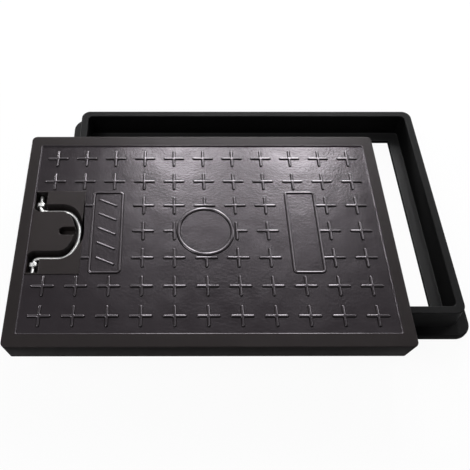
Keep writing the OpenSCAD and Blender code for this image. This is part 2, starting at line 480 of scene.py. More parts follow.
def shade(mesh: bpy.types.Mesh, smooth_angle: float = 40.0) -> None:
    """Smooths a mesh except at edges bent more than this many degrees."""
    mesh.shade_smooth()
    mesh.set_sharp_from_angle(angle=math.radians(smooth_angle))


class Recipe:
    """A Geometry Nodes tree with named inputs."""

    def __init__(self, name: str) -> None:
        """Starts a tree that has only its output."""
        self.tree = bpy.data.node_groups.new(name, "GeometryNodeTree")
        self.tree.interface.new_socket("Geometry", in_out="OUTPUT", socket_type="NodeSocketGeometry")
        self.source = self.tree.nodes.new("NodeGroupInput")
        self.values: dict[str, Any] = {}

    def take(self, name: str, value: Any) -> bpy.types.NodeSocket:
        """Adds a named input and remembers its value.

        Args:
            name: the input's name.
            value: a whole number, a length or an object.

        Returns:
            The socket that gives the value inside the tree.
        """
        kinds = {int: "Int", float: "Float", bpy.types.Object: "Object"}
        kind = next(word for known, word in kinds.items() if isinstance(value, known))
        made = self.tree.interface.new_socket(name, in_out="INPUT", socket_type="NodeSocket" + kind)
        self.values[made.identifier] = value
        return self.source.outputs[name]

    def node(
        self, kind: str, settings: dict[str, Any], values: dict[Any, Any], output: Any = 0
    ) -> bpy.types.NodeSocket:
        """Adds any node.

        Args:
            kind: the node's type.
            settings: properties that are set first.
            values: numbers or sockets for its inputs, by name or number.
            output: the output to return.

        Returns:
            The chosen output.
        """
        made = self.tree.nodes.new(kind)
        for key, value in settings.items():
            setattr(made, key, value)
        for key, value in values.items():
            if isinstance(value, bpy.types.NodeSocket):
                self.tree.links.new(value, made.inputs[key])
            else:
                made.inputs[key].default_value = value
        return made.outputs[output]

    def math(self, operation: str, *values: Any) -> bpy.types.NodeSocket:
        """Adds a Math node."""
        return self.node("ShaderNodeMath", {"operation": operation}, dict(enumerate(values)))

    def join(self, *parts: bpy.types.NodeSocket) -> bpy.types.NodeSocket:
        """Joins several geometries."""
        made = self.tree.nodes.new("GeometryNodeJoinGeometry")
        for part in parts:
            self.tree.links.new(part, made.inputs[0])
        return made.outputs[0]

    def stand(self, shape: bpy.types.NodeSocket) -> bpy.types.NodeSocket:
        """The geometry of an object input."""
        return self.node("GeometryNodeObjectInfo", {"transform_space": "ORIGINAL"}, {"Object": shape}, "Geometry")

    def bake(
        self, name: str, shape: bpy.types.NodeSocket, place: Vector, smooth_angle: float = 40.0
    ) -> bpy.types.Mesh:
        """Ends the tree, runs it once and keeps the plain mesh.

        Args:
            name: the mesh's name.
            shape: the geometry to keep.
            place: where the piece's own middle lies.
            smooth_angle: edges bent more than this, in degrees, stay sharp.

        Returns:
            The realised mesh.
        """
        shape = self.node("GeometryNodeRealizeInstances", {}, {0: shape})
        shape = self.node("GeometryNodeMergeByDistance", {}, {"Geometry": shape, "Distance": 0.004 * MM})
        result = self.tree.nodes.new("NodeGroupOutput")
        self.tree.links.new(shape, result.inputs[0])
        holder = bpy.data.objects.new(name + "_holder", bpy.data.meshes.new(name + "_seed"))
        bpy.context.scene.collection.objects.link(holder)
        modifier = holder.modifiers.new("Recipe", "NODES")
        modifier.node_group = self.tree
        for identifier, value in self.values.items():
            modifier[identifier] = value
        made = bpy.data.meshes.new_from_object(holder.evaluated_get(bpy.context.evaluated_depsgraph_get()))
        made.name = name
        holder.modifiers.remove(modifier)
        bpy.data.objects.remove(holder)
        made.transform(Matrix.Translation(place))
        shade(made, smooth_angle)
        return made


def pattern(mesh: bpy.types.Mesh, materials: Sequence[bpy.types.Material]) -> bpy.types.Object:
    """A loose object that a recipe copies, with what fills its material slots."""
    for material in materials:
        mesh.materials.append(material)
    made = bpy.data.objects.new(mesh.name, mesh)
    bpy.context.scene.collection.objects.link(made)
    made.hide_render = True
    return made


def piece(mesh: bpy.types.Mesh, materials: Sequence[bpy.types.Material], body: Body) -> bpy.types.Object:
    """Makes a mesh into a piece of the object.

    Args:
        mesh: the finished mesh, in place.
        materials: what fills its material slots.
        body: what it moves with.

    Returns:
        The piece's object.
    """
    for material in materials[len(mesh.materials) :]:
        mesh.materials.append(material)
    made = bpy.data.objects.new(mesh.name, mesh)
    bpy.context.scene.collection.objects.link(made)
    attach(made, body.value)
    LOG.info("%s: %d vertices on %s", made.name, len(mesh.vertices), body.value)
    return made


def middle(node: str) -> Vector:
    """The middle of a CAD node's footprint, at the height of its underside."""
    low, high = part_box(node)
    return Vector(((low.x + high.x) / 2, (low.y + high.y) / 2, low.z))


def half_size(node: str) -> Point2:
    """Half the length and half the width of a CAD node."""
    low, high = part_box(node)
    return (high.x - low.x) / 2, (high.y - low.y) / 2


@dataclass
class Surround:
    """The seating frame: flange, rim, pocket and ledge in one moulding."""

    material: bpy.types.Material
    # A darker, rougher copy of the frame's finish on its inner walls: painted shade.
    shaded_finish: bpy.types.Material
    # A glossier copy of the frame's finish on the ledge, with a lighter colour that paints the light falling on it.
    glossy_lit_ledge: bpy.types.Material
    flange_t: float = 10 * MM
    flange_w: float = 20 * MM
    rim_w: float = 13 * MM
    ledge_t: float = 8 * MM
    ledge_w: float = 20 * MM
    flare: float = 2.5 * MM
    draft: float = 1.8 * MM
    flange_corner: float = 26 * MM
    rim_corner: float = 16 * MM
    pocket_corner: float = 8 * MM
    flange_edge: float = 3 * MM
    rim_edge: float = 1.5 * MM
    fillet: float = 1 * MM
    small_edge: float = 0.8 * MM

    def build(self) -> bpy.types.Object:
        """Lofts the frame's section round its plan.

        Returns:
            The frame's piece.
        """
        half_x, half_y = half_size("frame")
        low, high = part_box("frame")
        top = high.z - low.z
        flange = RoundRect(half_x, half_y, self.flange_corner)
        rim = replace(flange.inset(self.flange_w), corner=self.rim_corner)
        foot = rim.inset(-self.flare * (top - self.flange_t) / top)
        pocket = replace(rim.inset(self.rim_w), corner=self.pocket_corner)
        seat = pocket.inset(self.draft)
        opening = replace(seat.inset(self.ledge_w), corner=self.small_edge)
        hold = 0.35 * MM
        section: list[tuple[RoundRect, float]] = [(flange.inset(self.small_edge), 0.0), (flange, self.small_edge)]
        section += [(flange.inset(d), self.flange_t - z) for d, z in rounding(self.flange_edge)]
        section.append((foot.inset(-self.fillet - hold), self.flange_t))
        section += [(foot.inset(-d), self.flange_t + z) for d, z in reversed(rounding(self.fillet)[:-1])]
        section += [(rim.inset(d), top - z) for d, z in rounding(self.rim_edge)]
        section += [(pocket.inset(-d), top - z) for d, z in reversed(rounding(self.rim_edge))]
        wall_start = len(section) - 1
        section += [(seat.inset(d), self.ledge_t + z) for d, z in rounding(self.small_edge)]
        section += [(opening.inset(-d), self.ledge_t - z) for d, z in reversed(rounding(self.small_edge))]
        edge_start = len(section) - 1
        section += [(opening, self.small_edge), (opening.inset(-self.small_edge), 0.0)]
        builder = Builder()
        rings = [builder.ring(rect.points(), height) for rect, height in section]
        builder.skin(rings[: wall_start + 1])
        # The pocket's inner wall takes the darker finish: painted shade.
        builder.skin(rings[wall_start : wall_start + 2], slot=1)
        # The ledge takes the glossier, lighter finish: real gloss with painted light.
        builder.skin(rings[wall_start + 1 : edge_start + 1], slot=2)
        # The opening's wall and the underside take the darker finish too: painted shade.
        builder.skin([*rings[edge_start:], rings[0]], slot=1)
        mesh = builder.done("surround", middle("frame"))
        made = piece(mesh, [self.material, self.shaded_finish, self.glossy_lit_ledge], Body.ROOT)
        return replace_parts(made, "frame")


@dataclass
class CoverShape:
    """The sizes that the cover's pieces share."""

    border_x: float = 20 * MM
    border_y: float = 22.5 * MM
    field_drop: float = 2 * MM
    pad_len: float = 83.5 * MM
    pad_half: float = 79.5 * MM
    pad_rise: float = 1.2 * MM
    groove_w: float = 14 * MM
    groove_depth: float = 17 * MM
    pivot_in: float = 9 * MM
    bail_half: float = 45 * MM
    bail_reach: float = 68.5 * MM
    shoulder_r: float = 24 * MM
    crown_r: float = 60 * MM
    bend_r: float = 8 * MM
    pin_len: float = 23 * MM
    rod_r: float = 3.5 * MM
    rod_clear: float = 0.3 * MM

    def __post_init__(self) -> None:
        """Works out the places that follow from the sizes and from the cover's box."""
        self.middle = middle("cover")
        self.half_x, self.half_y = half_size("cover")
        low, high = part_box("cover")
        self.top = high.z - low.z
        self.field_z = self.top - self.field_drop
        self.pad_z = self.field_z + self.pad_rise
        self.groove_z = self.pad_z - self.groove_depth
        self.field = RoundRect(self.half_x - self.border_x, self.half_y - self.border_y, 1.5 * MM)
        self.pad_left = -self.field.half_x
        self.pad_right = self.pad_left + self.pad_len
        self.pivot_x = self.pad_left + self.pivot_in
        self.rod_z = self.groove_z + self.rod_clear + self.rod_r
        self.crown_x = self.pivot_x + self.bail_reach - self.crown_r
        self.shoulder_y = self.bail_half - self.shoulder_r
        across = (self.crown_r - self.shoulder_r) ** 2 - self.shoulder_y**2
        self.shoulder_x = self.crown_x + math.sqrt(across)
        self.crown_angle = math.atan2(self.shoulder_y, self.shoulder_x - self.crown_x)

    def bail_line(self, offset: float, steps: int = 10) -> list[Point2]:
        """The line parallel to the bail's legs, shoulders and crown.

        Args:
            offset: how far it lies outside the rod's middle line.
            steps: chords in each bend.

        Returns:
            Points from the front shoulder round the crown to the back shoulder.
        """
        shoulder = self.shoulder_r + offset
        crown = self.crown_r + offset
        front = arc((self.shoulder_x, -self.shoulder_y), shoulder, -QUARTER, -self.crown_angle, steps)
        end = arc((self.crown_x, 0.0), crown, -self.crown_angle, self.crown_angle, 2 * steps)
        back = arc((self.shoulder_x, self.shoulder_y), shoulder, self.crown_angle, QUARTER, steps)
        return front + end[1:-1] + back


@dataclass
class CoverBody:
    """The cover's moulding: sides, border, field, handle pad and ribbed underside."""

    shape: CoverShape
    matt: bpy.types.Material
    gloss: bpy.types.Material
    # A darker, rougher copy of the matt finish on the sides; its darker colour is painted shade.
    shaded_finish: bpy.types.Material
    # A lighter copy of the matt finish for the handle pad.
    pad_finish: bpy.types.Material
    corner: float = 9 * MM
    draft: float = 5 * MM
    edge: float = 1.5 * MM
    step_edge: float = 1.5 * MM
    cell_edge: float = 0.7 * MM
    fillet: float = 0.4 * MM
    skin: float = 13 * MM
    wall: float = 14 * MM
    rib: float = 8 * MM
    cell_corner: float = 7 * MM
    cell_cols: int = 8
    cell_rows: int = 5
    boss: float = 9 * MM
    pocket_len: float = 20 * MM
    pocket_turn: float = 12 * MM
    notch_len: float = 25 * MM
    notch_w: float = 15 * MM
    notch_depth: float = 12 * MM
    pad_edge: float = 0.9 * MM
    under_border: float = 4 * MM
    sink: float = 0.2 * MM

    def build(self) -> None:
        """Makes the moulding's pieces."""
        body = piece(self._shell(), [self.matt, self.gloss, self.shaded_finish], Body.ROOT)
        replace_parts(body, "cover")
        piece(self._pad(), [self.pad_finish], Body.ROOT)

    def _shell(self) -> bpy.types.Mesh:
        """Sides, border, field, the well under the pad and the underside, as one closed mesh."""
        shape = self.shape
        builder = Builder()
        stops = (-shape.pad_half, shape.pad_half)
        outer = RoundRect(shape.half_x, shape.half_y, self.corner)
        foot = outer.inset(self.draft)
        side = [(foot.inset(self.fillet), 0.0), (foot, self.fillet)]
        side += [(outer.inset(d), shape.top - z) for d, z in rounding(self.edge)[:2]]
        border = [(outer.inset(d), shape.top - z) for d, z in rounding(self.edge)[2:]]
        step = [(shape.field.inset(-d), shape.top - z) for d, z in reversed(rounding(self.step_edge, 6))]
        step += [(shape.field.inset(d), shape.field_z + z) for d, z in rounding(self.fillet)]
        rings = [builder.ring(rect.points(stops), height) for rect, height in [*side, *border, *step]]
        side_end = len(side)
        step_start = len(side) + len(border) + 1
        # The sides take the darker finish, whose colour paints the shade on them.
        builder.skin(rings[:side_end], slot=2)
        builder.skin(rings[side_end - 1 : step_start])
        builder.skin(rings[step_start - 1 :], slot=1)
        self._field(builder, rings[-1])
        self._underside(builder, rings[0])
        return builder.done("cover_body", shape.middle)

    def _field(self, builder: Builder, ring: list[bmesh.types.BMVert]) -> None:
        """Fills the field round the pad's well, and makes the well's walls and floor.

        Args:
            builder: the mesh under construction.
            ring: the field's edge.
        """
        shape = self.shape
        left = min(vert.co.x for vert in ring)
        stops = [i for i, v in enumerate(ring) if v.co.x < left + 1e-6 and abs(abs(v.co.y) - shape.pad_half) < 1e-6]
        back, front = stops
        corners = [(shape.pad_right, -shape.pad_half), (shape.pad_right, shape.pad_half)]
        near, far = builder.ring(corners, shape.field_z)
        builder.cap([*ring[front:], *ring[: back + 1], far, near], slot=1)
        upper = [ring[back], ring[front], near, far]
        lower = builder.ring([(v.co.x, v.co.y) for v in upper], shape.groove_z)
        builder.skin([upper, lower])
        builder.cap(lower)

    def _underside(self, builder: Builder, ring: list[bmesh.types.BMVert]) -> None:
        """Adds the sheet of cells and joins it to the foot of the sides.

        Args:
            builder: the mesh under construction.
            ring: the foot of the sides.
        """
        sheet = self._cell_sheet()
        before = set(builder.mesh.verts)
        builder.mesh.from_mesh(sheet)
        bmesh.ops.remove_doubles(
            builder.mesh, verts=[v for v in builder.mesh.verts if v not in before], dist=0.004 * MM
        )
        rim = [edge for edge in builder.mesh.edges if edge.is_boundary]
        bmesh.ops.triangle_fill(builder.mesh, edges=rim, normal=(0.0, 0.0, -1.0))

    def _tile(self, name: str, pitch: Point2, depth: float) -> bpy.types.Object:
        """One cell with its share of the ribs round it, open at the top.

        Args:
            name: the pattern's name.
            pitch: the tile's length and width.
            depth: the cell's depth.

        Returns:
            The pattern that the recipe copies.
        """
        builder = Builder()
        cell = RoundRect((pitch[0] - self.rib) / 2, (pitch[1] - self.rib) / 2, self.cell_corner, 5)
        tile = RoundRect(pitch[0] / 2, pitch[1] / 2, 0.0, 5)
        rings = [builder.ring(tile.points(), 0.0)]
        rings += [builder.ring(cell.inset(-d).points(), z) for d, z in reversed(rounding(self.cell_edge, 2))]
        rings += [builder.ring(cell.inset(d).points(), depth - z) for d, z in rounding(2 * MM, 3)]
        builder.skin(rings)
        builder.cap(rings[-1])
        return pattern(builder.done(name, Vector()), [self.matt])

    def _cell_sheet(self) -> bpy.types.Mesh:
        """Lays the tiles out in rows, shallow ones below the handle.

        Returns:
            The underside's sheet.
        """
        shape = self.shape
        length = 2 * (shape.half_x - self.draft - self.wall) + self.rib
        width = 2 * (shape.half_y - self.draft - self.wall) + self.rib
        pitch = (length / self.cell_cols, width / self.cell_rows)
        deep = self._tile("deep_cell", pitch, shape.field_z - self.skin)
        shallow = self._tile("shallow_cell", pitch, shape.groove_z - self.boss)
        recipe = Recipe("underside_cells")
        points = recipe.node(
            "GeometryNodeMeshGrid",
            {},
            {
                "Size X": recipe.take("Length", length - pitch[0]),
                "Size Y": recipe.take("Width", width - pitch[1]),
                "Vertices X": recipe.take("Columns", self.cell_cols),
                "Vertices Y": recipe.take("Rows", self.cell_rows),
            },
        )
        spot = recipe.node("GeometryNodeInputPosition", {}, {})
        x_part = recipe.node("ShaderNodeSeparateXYZ", {}, {0: spot}, "X")
        y_part = recipe.node("ShaderNodeSeparateXYZ", {}, {0: spot}, "Y")
        left = recipe.math("LESS_THAN", x_part, recipe.take("Boss right", shape.pad_right + pitch[0] / 2))
        boss_half = recipe.take("Boss half", shape.pad_half + pitch[1] / 2)
        inside = recipe.math("LESS_THAN", recipe.math("ABSOLUTE", y_part), boss_half)
        under = recipe.math("MULTIPLY", left, inside)
        parts = []
        for share, tile in ((under, shallow), (recipe.math("SUBTRACT", 1.0, under), deep)):
            values = {"Points": points, "Selection": share, "Instance": recipe.stand(recipe.take(tile.name, tile))}
            parts.append(recipe.node("GeometryNodeInstanceOnPoints", {}, values))
        sheet = recipe.bake("cell_sheet", recipe.join(*parts), Vector())
        for tile in (deep, shallow):
            bpy.data.objects.remove(tile)
        return sheet

    def _pad(self) -> bpy.types.Mesh:
        """The handle pad: the part round the groove, the part inside it and the notch's floor."""
        shape = self.shape
        builder = Builder()
        left = shape.pad_left - self.under_border
        right = shape.pad_right + self.sink
        half = shape.pad_half + self.sink
        pocket_x = shape.pad_left + self.pocket_len
        pocket_y = shape.bail_half + shape.bend_r + shape.pin_len + 1 * MM
        wall = shape.groove_w / 2
        bottom = shape.groove_z - self.sink
        around = [(left, -half), (right, -half), (right, half), (left, half), (left, pocket_y), (pocket_x, pocket_y)]
        around += [(pocket_x, shape.bail_half + wall)]
        around += reversed(shape.bail_line(wall))
        around += [(pocket_x, -shape.bail_half - wall), (pocket_x, -pocket_y), (left, -pocket_y)]
        builder.prism(around, bottom, shape.pad_z, self.pad_edge)
        inner = shape.bail_line(-wall)
        notch = self.notch_w / 2
        crown = [p for p in inner if abs(p[1]) > notch + 1 * MM]
        split = next(i for i, p in enumerate(crown) if p[1] > 0)
        edge_x = shape.crown_x + math.sqrt((shape.crown_r - wall) ** 2 - notch**2)
        notch_x = shape.pivot_x + shape.bail_reach - wall - self.notch_len + notch
        round_end = arc((notch_x, 0.0), notch, -QUARTER, -3 * QUARTER, 12)
        turn_x = shape.pad_left + self.pocket_turn
        turn_y = shape.bail_half - wall + self.pocket_turn
        island = [*arc((turn_x, turn_y), self.pocket_turn, 3 * QUARTER, 2 * QUARTER, 10), (left, turn_y)]
        island += [(left, -turn_y), *arc((turn_x, -turn_y), self.pocket_turn, 2 * QUARTER, QUARTER, 10)]
        island += [*crown[:split], (edge_x, -notch)]
        island += [*round_end, (edge_x, notch), *crown[split:]]
        builder.prism(island, bottom, shape.pad_z, self.pad_edge)
        floor = [(notch_x - 2 * notch, -2 * notch), (edge_x - 0.3 * MM, -2 * notch)]
        floor += [(edge_x - 0.3 * MM, 2 * notch), (notch_x - 2 * notch, 2 * notch)]
        floor_z = shape.pad_z - self.notch_depth
        builder.prism(floor, bottom, floor_z, 0.3 * MM)
        return builder.done("handle_pad", shape.middle)


@dataclass
class Tread:
    """Everything that stands up from the field: crosses, ring, panel ridges and slanted bars."""

    shape: CoverShape
    material: bpy.types.Material
    # The darker copy of the matt finish for the flanks: painted shade.
    shaded_finish: bpy.types.Material
    pitch: float = 50 * MM
    cols: int = 11
    rows: int = 7
    span: float = 35.5 * MM
    arm_w: float = 4.8 * MM
    inner_corner: float = 0.8 * MM
    crown_share: float = 0.09
    crown_tilt: float = math.radians(28)
    draft: float = 0.7 * MM
    shoulder: float = 0.3 * MM
    ring_d: float = 92.7 * MM
    ring_w: float = 6 * MM
    panel_w: float = 51.5 * MM
    panel_l: float = 157 * MM
    panel_corner: float = 7 * MM
    ridge_w: float = 4.5 * MM
    panel_gap: float = 12.3 * MM
    bar_count: int = 5
    bar_w: float = 3.6 * MM
    sink: float = 0.3 * MM
    flank_end: int = 7
    smooth_angle: float = 14.0

    def build(self) -> None:
        """Makes the tread's pieces."""
        shape = self.shape
        self.panel_x = shape.pad_right + self.panel_gap + self.panel_w / 2
        lift = shape.middle + Vector((0.0, 0.0, shape.field_z))
        for mesh in (self._crosses(lift), self._bars(lift), self._ridges(lift)):
            piece(mesh, [self.material, self.shaded_finish], Body.ROOT)

    def _section(self, width: float) -> list[Point2]:
        """Half of a ridge's section, as (inset, height), from its flared foot to its crowned top.

        Args:
            width: the ridge's width.

        Returns:
            The stations of the half section.
        """
        rise = self.shape.field_drop
        half = width / 2
        foot = [(-0.4 * MM, -self.sink), (-0.4 * MM, 0.0), (-0.12 * MM, 0.1 * MM), (0.03 * MM, 0.35 * MM)]
        start = self.draft + self.shoulder * (1 - math.sin(self.crown_tilt))
        spread = half - start
        crown = []
        for step in range(6):
            inward = start + spread * 0.97 * step / 5
            crown.append((inward, rise - self.crown_share * width * ((half - inward) / spread) ** 2))
        low = crown[0][1] - self.shoulder * math.cos(self.crown_tilt)
        turned = [(QUARTER - self.crown_tilt) * step / 3 for step in range(3)]
        side = [(self.draft + self.shoulder * (1 - math.cos(a)), low + self.shoulder * math.sin(a)) for a in turned]
        return [*foot, *side, *crown]

    def _raised(self, name: str, outline: Sequence[Point2], width: float) -> bpy.types.Object:
        """A closed raised shape on the field, for a recipe to copy.

        Args:
            name: its name.
            outline: its outline at mid height.
            width: the width of its arms.

        Returns:
            The shape, about its own middle.
        """
        builder = Builder()
        self._bank(builder, outline, width)
        return pattern(builder.done(name, Vector()), [self.material, self.shaded_finish])

    def _bank(self, builder: Builder, outline: Sequence[Point2], width: float) -> None:
        """Adds a closed raised block with a crowned top and flanks in the darker finish, which paints shade on them.
        """
        rings = [builder.ring(inset_outline(outline, d), z) for d, z in self._section(width)]
        # The flanks take the darker finish: painted shade along the sides of each block.
        builder.skin(rings[: self.flank_end + 1], slot=1)
        builder.skin(rings[self.flank_end :])
        builder.cap(rings[0], 1, downwards=True)
        builder.cap(rings[-1])

    def _cross_outline(self, arms: Sequence[bool]) -> list[Point2]:
        """The outline of a cross, or of one with an arm left out.

        Args:
            arms: whether the right, back, left and front arms are there.

        Returns:
            The anticlockwise outline.
        """
        half = self.arm_w / 2
        reach = self.span / 2 - half
        outline: list[Point2] = []
        for turn, present in enumerate(arms):
            spin = Matrix.Rotation(turn * QUARTER, 2)
            following = arms[(turn + 1) % 4]
            local = arc((reach, 0.0), half, -QUARTER, QUARTER, 8) if present else []
            if present and following:
                centre = half + self.inner_corner
                local += arc((centre, centre), self.inner_corner, 3 * QUARTER, 2 * QUARTER, 3)
            outline += [tuple(spin @ Vector(p)) for p in local]
        return outline

    def _crosses(self, lift: Vector) -> bpy.types.Mesh:
        """Sets the crosses out on their grid, clear of the pad, the panels and the ring.

        Args:
            lift: where the field's middle lies.

        Returns:
            All crosses as one mesh.
        """
        shape = self.shape
        full = self._raised("full_cross", self._cross_outline([True] * 4), self.arm_w)
        cut = self._raised("cut_cross", self._cross_outline([True, True, False, True]), self.arm_w)
        recipe = Recipe("tread_crosses")
        pitch = recipe.take("Pitch", self.pitch)
        cols = recipe.take("Columns", self.cols)
        rows = recipe.take("Rows", self.rows)
        ring_r = recipe.take("Ring radius", self.ring_d / 2)
        panel_x = recipe.take("Panel distance", -self.panel_x)
        panel_half_w = recipe.take("Panel half width", self.panel_w / 2)
        panel_half_l = recipe.take("Panel half length", self.panel_l / 2)
        pad_right = recipe.take("Pad right", shape.pad_right)
        grid = recipe.node(
            "GeometryNodeMeshGrid",
            {},
            {
                "Size X": recipe.math("MULTIPLY", pitch, recipe.math("SUBTRACT", cols, 1.0)),
                "Size Y": recipe.math("MULTIPLY", pitch, recipe.math("SUBTRACT", rows, 1.0)),
                "Vertices X": cols,
                "Vertices Y": rows,
            },
        )
        spot = recipe.node("GeometryNodeInputPosition", {}, {})
        x_part = recipe.node("ShaderNodeSeparateXYZ", {}, {0: spot}, "X")
        y_part = recipe.node("ShaderNodeSeparateXYZ", {}, {0: spot}, "Y")
        beside = recipe.math("ABSOLUTE", recipe.math("SUBTRACT", recipe.math("ABSOLUTE", x_part), panel_x))
        on_panel = recipe.math("LESS_THAN", beside, panel_half_w)
        on_pad = recipe.math("LESS_THAN", x_part, pad_right)
        level = recipe.math("LESS_THAN", recipe.math("ABSOLUTE", y_part), panel_half_l)
        away = recipe.node("ShaderNodeVectorMath", {"operation": "LENGTH"}, {0: spot}, "Value")
        on_ring = recipe.math("LESS_THAN", away, recipe.math("ADD", ring_r, self.arm_w))
        taken = recipe.math("MULTIPLY", level, recipe.math("MAXIMUM", on_panel, on_pad))
        taken = recipe.math("MAXIMUM", taken, on_ring)
        free = recipe.math("SUBTRACT", 1.0, taken)
        whole = recipe.node(
            "GeometryNodeInstanceOnPoints",
            {},
            {"Points": grid, "Selection": free, "Instance": recipe.stand(recipe.take("Cross", full))},
        )
        corners = recipe.node("GeometryNodeMeshCircle", {}, {"Vertices": 4, "Radius": pitch})
        number = recipe.node("GeometryNodeInputIndex", {}, {})
        spin = recipe.node("ShaderNodeCombineXYZ", {}, {"Z": recipe.math("MULTIPLY", number, QUARTER)})
        rotation = recipe.node("FunctionNodeEulerToRotation", {}, {0: spin})
        beside_ring = recipe.node(
            "GeometryNodeInstanceOnPoints",
            {},
            {"Points": corners, "Instance": recipe.stand(recipe.take("Cut cross", cut)), "Rotation": rotation},
        )
        mesh = recipe.bake("tread_crosses", recipe.join(whole, beside_ring), lift, self.smooth_angle)
        for used in (full, cut):
            bpy.data.objects.remove(used)
        return mesh

    def _bars(self, lift: Vector) -> bpy.types.Mesh:
        """Sets the slanted bars out in the panel next to the handle.

        Args:
            lift: where the field's middle lies.

        Returns:
            All bars as one mesh.
        """
        room_x = self.panel_w - 4 * self.ridge_w
        step = (self.panel_l - 4 * self.ridge_w) / self.bar_count
        run = (room_x - self.bar_w) / 2
        slant = math.atan2(step / 2, 2 * run)
        half = self.bar_w / 2
        outline = arc((run, 0.0), half, -QUARTER, QUARTER, 8) + arc((-run, 0.0), half, QUARTER, 3 * QUARTER, 8)
        bar = self._raised("slanted_bar", outline, self.bar_w)
        recipe = Recipe("tread_bars")
        count = recipe.take("Count", self.bar_count)
        gap = recipe.take("Step", step)
        first = recipe.math("MULTIPLY", recipe.math("MULTIPLY", gap, recipe.math("SUBTRACT", count, 1.0)), -0.5)
        line = recipe.node(
            "GeometryNodeMeshLine",
            {},
            {
                "Count": count,
                "Start Location": recipe.node("ShaderNodeCombineXYZ", {}, {"Y": first}),
                "Offset": recipe.node("ShaderNodeCombineXYZ", {}, {"Y": gap}),
            },
        )
        spin = recipe.node("ShaderNodeCombineXYZ", {}, {"Z": recipe.take("Slant", -slant)})
        rotation = recipe.node("FunctionNodeEulerToRotation", {}, {0: spin})
        values = {"Points": line, "Instance": recipe.stand(recipe.take("Bar", bar)), "Rotation": rotation}
        bars = recipe.node("GeometryNodeInstanceOnPoints", {}, values)
        mesh = recipe.bake("tread_bars", bars, lift + Vector((self.panel_x, 0.0, 0.0)), self.smooth_angle)
        bpy.data.objects.remove(bar)
        return mesh

    def _ridge(self, builder: Builder, outline: Callable[[float], Sequence[Point2]], width: float) -> None:
        """A raised band that follows a closed line.

        Args:
            builder: the mesh under construction.
            outline: gives the closed line at a distance inside its outer edge.
            width: the band's width.
        """
        side = self._section(width)
        rings = [builder.ring(outline(d), z) for d, z in side]
        rings += [builder.ring(outline(width - d), z) for d, z in reversed(side)]
        end = self.flank_end
        builder.skin(rings[end : len(rings) - end])
        # The band's flanks take the darker finish: painted shade.
        builder.skin([*rings[len(rings) - 1 - end :], *rings[: end + 1]], slot=1)

    def _ridges(self, lift: Vector) -> bpy.types.Mesh:
        """The ring, the two panels' ridges and the stubs between the pad and its panel.

        Args:
            lift: where the field's middle lies.

        Returns:
            The ridges as one mesh.
        """
        builder = Builder()
        self._ridge(builder, lambda d: arc((0.0, 0.0), self.ring_d / 2 - d, 0.0, 4 * QUARTER, 96)[:-1], self.ring_w)
        panel = RoundRect(self.panel_w / 2, self.panel_l / 2, self.panel_corner)
        for side in (-1, 1):
            shift = side * self.panel_x
            self._ridge(builder, lambda d: [(x + shift, y) for x, y in panel.inset(d).points()], self.ridge_w)
        half = self.arm_w / 2
        start = self.shape.pad_right - self.sink
        end = self.panel_x - self.panel_w / 2 + self.ridge_w / 2
        for side in (-1, 1):
            y = side * self.pitch
            outline = [(start, y - half), (end, y - half), (end, y + half), (start, y + half)]
            self._bank(builder, outline, self.arm_w)
        return builder.done("tread_ridges", lift, self.smooth_angle)


